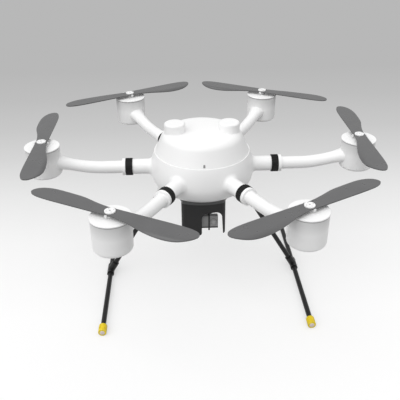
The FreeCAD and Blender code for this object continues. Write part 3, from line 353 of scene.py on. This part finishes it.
def guard_surface():
    """Black moulding whose flared lip is a lighter grey."""
    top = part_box("camera_guard")[1].z
    surface = black_surface("guard_black", (0.012, 0.012, 0.0125), 0.40)
    return surface.band(top - LIP_FOOT, top - LIP_EDGE, (0.10, 0.102, 0.103))


def rubber_surface():
    """Yellow rubber with a coarse grain."""
    surface = Surface("cap_yellow", (0.86, 0.66, 0.02), 0.38)
    return surface.mottle(60, 0.10).wear(80, 0.08).grain(900, 0.0001, 0.5)


def dress_nodes():
    """Give every solid of the frame its material."""
    seat = Surface("seat_white", grey(0.78), 0.35).mottle(40, 0.02).wear(50, 0.05)
    tube = weave_surface("tube_weave", (0.007, 0.007, 0.0073), 0.0015)
    looks = [
        (("lower_shell", "canopy", "antenna_"), white_surface("shell_white", grey(0.93))),
        (("arm_", "motor_lid_"), pod_surface("arm_white_painted_shade")),
        (("prop_clamp_",), white_surface("disc_white", grey(0.92))),
        (("lock_ring_",), black_surface("collar_black", grey(0.002), 0.55)),
        (("propeller_",), propeller_surface()),
        (("motor_rotor_",), seat),
        (("centre_plate",), weave_surface("plate_weave", (0.02, 0.02, 0.022), 0.002)),
        (("battery",), black_surface("battery_wrap", (0.03, 0.03, 0.035), 0.35)),
        (("flight_controller",), black_surface("controller_case", (0.02, 0.02, 0.022), 0.5)),
        (("leg_", "skid_left", "skid_right"), tube),
        (("skid_cap_",), rubber_surface()),
        (("tee_",), black_surface("tee_black", grey(0.012), 0.38)),
        (("camera_guard",), guard_surface()),
        (("gimbal_", "camera_cradle"), black_surface("gimbal_black", (0.035, 0.035, 0.036), 0.36)),
        (("camera_body",), black_surface("camera_core", grey(0.20), 0.45)),
        (("camera_lens",), black_surface("lens_ring", grey(0.34), 0.25)),
    ]
    for name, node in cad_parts.items():
        for starts, surface in looks:
            if name.startswith(starts):
                node.data.materials.clear()
                node.data.materials.append(surface.material)
                break
        else:
            raise ValueError("no look for " + name)


# ---------------------------------------------------------------- small pieces

ARMS = ("right", "rear_right", "rear_left", "left", "front_left", "front_right")
SHARP_FROM = math.radians(35)           # edges that turn by more than this stay sharp

# Each screw: radius of its head, height of its head, radius of its socket.
CENTRE_SCREW = (0.0019, 0.0010, 0.0010)
CENTRE_SCREW_SINK = 0.0010              # from the top of the clamp disc down to the head's seat
SMALL_SCREW = (0.0013, 0.0006, 0.0007)
SMALL_SCREW_CIRCLE = 0.0085             # from the centre screw out to the small ones
SMALL_SCREW_START = 20                  # degrees from +X to the first one
TEE_SCREW = (0.0028, 0.0018, 0.0014)
TEE_SCREW_SINK = 0.0006                 # from the tee's round side in to the head's seat
TEE_SCREW_RISE = math.radians(35)       # from level, on the outer side
TEE_SCREW_PLACES = (-0.30, 0.30)        # shares of the tee's length, from its middle

INSERT_SINK = 0.0004                    # from the cap's end in to the disc's back
# Rows of the disc: radius, height.
INSERT_PROFILE = [(0, 0), (0.0066, 0), (0.0066, 0.0007), (0.0058, 0.0011), (0, 0.0013)]

CAMERA_EDGE = 0.0025                    # radius of the camera's edges
REAR_EDGE_SHARE = 0.9                   # radius of its upper rear edge, in halves of its depth
LEAST_BEND = 0.0001                     # smallest radius of a corner
EDGE_STEP = 15                          # degrees between the loops round an edge
CORNER_POINTS = 7                       # points of a loop at each corner

LENS_SINK = 0.0014                      # from the front of the lens ring back to the glass
# Rows of the glass: share of the ring's radius, height.
GLASS_PROFILE = [(0, 0), (0.72, 0), (0.66, 0.0003), (0.45, 0.0008), (0, 0.0011)]

CANOPY_LEAN = math.radians(23.5)        # the canopy's side, from upright
TAB_SIZE = (0.0046, 0.0018, 0.0084)
TAB_EDGE = 0.0007                       # bevel of its edges
TAB_INSET = 0.0047                      # from the canopy's foremost point back to the tab's middle
TAB_RISE = 0.0069                       # from the top of the lower shell up to the tab's middle


def middle(node):
    """The centre of a solid's box."""
    low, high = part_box(node)
    return (low + high) / 2


def turned(mesh, profile, place, steps, axis=(0, 0, 1)):
    """Add a turned form to a mesh: rows of (radius, height) round an axis through a place."""
    turn = Vector((0, 0, 1)).rotation_difference(Vector(axis)).to_matrix()
    rings = []
    for radius, height in profile:
        count = steps if radius > 0 else 1
        ring = []
        for step in range(count):
            angle = 2 * math.pi * step / steps
            spot = Vector((radius * math.cos(angle), radius * math.sin(angle), height))
            ring.append(mesh.verts.new(turn @ spot + Vector(place)))
        rings.append(ring)
    for lower, upper in zip(rings, rings[1:]):
        for step in range(steps):
            following = (step + 1) % steps
            corners = [
                lower[step % len(lower)],
                lower[following % len(lower)],
                upper[following % len(upper)],
                upper[step % len(upper)],
            ]
            # A row of radius 0 is one point, so the faces that meet it are triangles.
            mesh.faces.new(list(dict.fromkeys(corners)))


def piece(name, mesh, surface, body):
    """Turn a mesh under work into a smooth piece that rides on a body."""
    bmesh.ops.recalc_face_normals(mesh, faces=mesh.faces)
    data = bpy.data.meshes.new(name)
    mesh.to_mesh(data)
    mesh.free()
    data.materials.append(surface.material)
    item = new_object(name, data)
    for face in data.polygons:
        face.use_smooth = True
    data.set_sharp_from_angle(angle=SHARP_FROM)
    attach(item, body)
    return item


def button_head(radius, height, socket):
    """Profile of a button-head screw with a round socket, from its seat up."""
    return [
        (0, 0),
        (radius, 0),
        (radius, height * 0.35),
        (radius * 0.88, height * 0.75),
        (radius * 0.62, height),
        (socket, height),
        (socket * 0.9, height * 0.35),
        (0, height * 0.35),
    ]


def clamp_screws():
    """A centre screw and four small screws on each clamp disc."""
    steel = steel_surface("screw_steel", (0.60, 0.60, 0.61), 0.35)
    for arm in ARMS:
        centre = middle("prop_clamp_" + arm)
        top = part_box("prop_clamp_" + arm)[1].z
        mesh = bmesh.new()
        spot = (centre.x, centre.y, top - CENTRE_SCREW_SINK)
        turned(mesh, button_head(*CENTRE_SCREW), spot, steps=20)
        for quarter in range(4):
            angle = math.radians(SMALL_SCREW_START + 90 * quarter)
            x = centre.x + SMALL_SCREW_CIRCLE * math.cos(angle)
            y = centre.y + SMALL_SCREW_CIRCLE * math.sin(angle)
            turned(mesh, button_head(*SMALL_SCREW), (x, y, top), steps=16)
        piece("clamp_screws_" + arm, mesh, steel, "propeller_" + arm)


def cap_inserts():
    """A pale disc in the end of each skid cap."""
    pale = Surface("insert_pale", (0.80, 0.70, 0.66), 0.45).mottle(120, 0.03).wear(90, 0.06)
    for side in ("left", "right"):
        for end, way in (("front", -1), ("rear", 1)):
            cap = "skid_cap_%s_%s" % (end, side)
            low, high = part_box(cap)
            centre = middle(cap)
            face = low.y if way < 0 else high.y
            place = (centre.x, face - way * INSERT_SINK, centre.z)
            mesh = bmesh.new()
            turned(mesh, INSERT_PROFILE, place, steps=36, axis=(0, way, 0))
            piece("cap_insert_%s_%s" % (end, side), mesh, pale, "airframe")


def rounded_loop(mesh, place, half, radii, inset):
    """Add one loop across a body: a rectangle in y and z with a radius for each corner."""
    loop = []
    for corner, radius in enumerate(radii):
        way_y = 1 if corner in (0, 3) else -1
        way_z = 1 if corner in (0, 1) else -1
        bend = max(radius - inset, LEAST_BEND)
        for step in range(CORNER_POINTS):
            angle = math.radians(90 * (corner + step / (CORNER_POINTS - 1)))
            y = way_y * (half[0] - inset - bend) + bend * math.cos(angle)
            z = way_z * (half[1] - inset - bend) + bend * math.sin(angle)
            loop.append(mesh.verts.new((place.x, place.y + y, place.z + z)))
    return loop


def camera_shell():
    """Body of the action camera, with soft edges and a much rounder upper rear edge."""
    low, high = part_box("camera_body")
    centre = middle("camera_body")
    half = ((high.y - low.y) / 2, (high.z - low.z) / 2)
    radii = (half[0] * REAR_EDGE_SHARE, CAMERA_EDGE, CAMERA_EDGE, CAMERA_EDGE)
    mesh = bmesh.new()
    ends = []
    for way in (-1, 1):
        wall = low.x if way < 0 else high.x
        for turn in range(0, 91, EDGE_STEP):
            angle = math.radians(turn)
            inset = CAMERA_EDGE * (1 - math.sin(angle))
            x = wall - way * CAMERA_EDGE * (1 - math.cos(angle))
            ends.append((Vector((x, centre.y, centre.z)), inset))
    ends.sort(key=lambda end: end[0].x)
    loops = [rounded_loop(mesh, spot, half, radii, inset) for spot, inset in ends]
    for one, other in zip(loops, loops[1:]):
        for step in range(len(one)):
            following = (step + 1) % len(one)
            mesh.faces.new([one[step], one[following], other[following], other[step]])
    mesh.faces.new(loops[0])
    mesh.faces.new(loops[-1])
    case = black_surface("camera_grey", grey(0.37), 0.40)
    shell = piece("camera_shell", mesh, case, "camera")
    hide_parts("camera_body")


def lens_glass():
    """The domed front glass in the lens ring."""
    low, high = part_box("camera_lens")
    centre = middle("camera_lens")
    radius = (high.x - low.x) / 2
    glass = Surface("lens_glass", grey(0.36), 0.12, specular=0.6).mottle(300, 0.03).wear(200, 0.02)
    mesh = bmesh.new()
    profile = [(radius * share, height) for share, height in GLASS_PROFILE]
    front = (centre.x, low.y + LENS_SINK, centre.z)
    turned(mesh, profile, front, steps=40, axis=(0, -1, 0))
    piece("lens_glass", mesh, glass, "camera")


def tee_screws():
    """Two clamp screws on the outer side of each tee."""
    steel = steel_surface("tee_steel", (0.45, 0.45, 0.46), 0.32)
    for side, way in (("left", -1), ("right", 1)):
        low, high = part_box("tee_" + side)
        centre = middle("skid_" + side)
        radius = centre.z - low.z
        axis = Vector((way * math.cos(TEE_SCREW_RISE), 0, math.sin(TEE_SCREW_RISE)))
        mesh = bmesh.new()
        for share in TEE_SCREW_PLACES:
            along = Vector((0, share * (high.y - low.y), 0))
            spot = centre + axis * (radius - TEE_SCREW_SINK) + along
            turned(mesh, button_head(*TEE_SCREW), spot, steps=20, axis=axis)
        piece("tee_screws_" + side, mesh, steel, "airframe")


def slot_shade_tab():
    """A grey tab in the slot at the foot of the canopy, which leans with the canopy's side: a dark
    piece put in as painted shade inside the slot.
    """
    slot_shade = black_surface("slot_shade_grey", grey(0.30), 0.5)
    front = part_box("canopy")[0].y
    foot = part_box("lower_shell")[1].z
    place = (middle("canopy").x, front + TAB_INSET, foot + TAB_RISE)
    mesh = bmesh.new()
    bmesh.ops.create_cube(mesh, size=1)
    bmesh.ops.scale(mesh, vec=TAB_SIZE, verts=mesh.verts)
    bmesh.ops.bevel(mesh, geom=list(mesh.edges), offset=TAB_EDGE, segments=3, affect="EDGES")
    bmesh.ops.rotate(mesh, matrix=Matrix.Rotation(-CANOPY_LEAN, 3, "X"), verts=mesh.verts)
    bmesh.ops.translate(mesh, vec=place, verts=mesh.verts)
    piece("slot_shade_tab", mesh, slot_shade, "canopy")


add_camera()
add_light()
add_floor()
dress_nodes()
clamp_screws()
cap_inserts()
camera_shell()
lens_glass()
tee_screws()
slot_shade_tab()
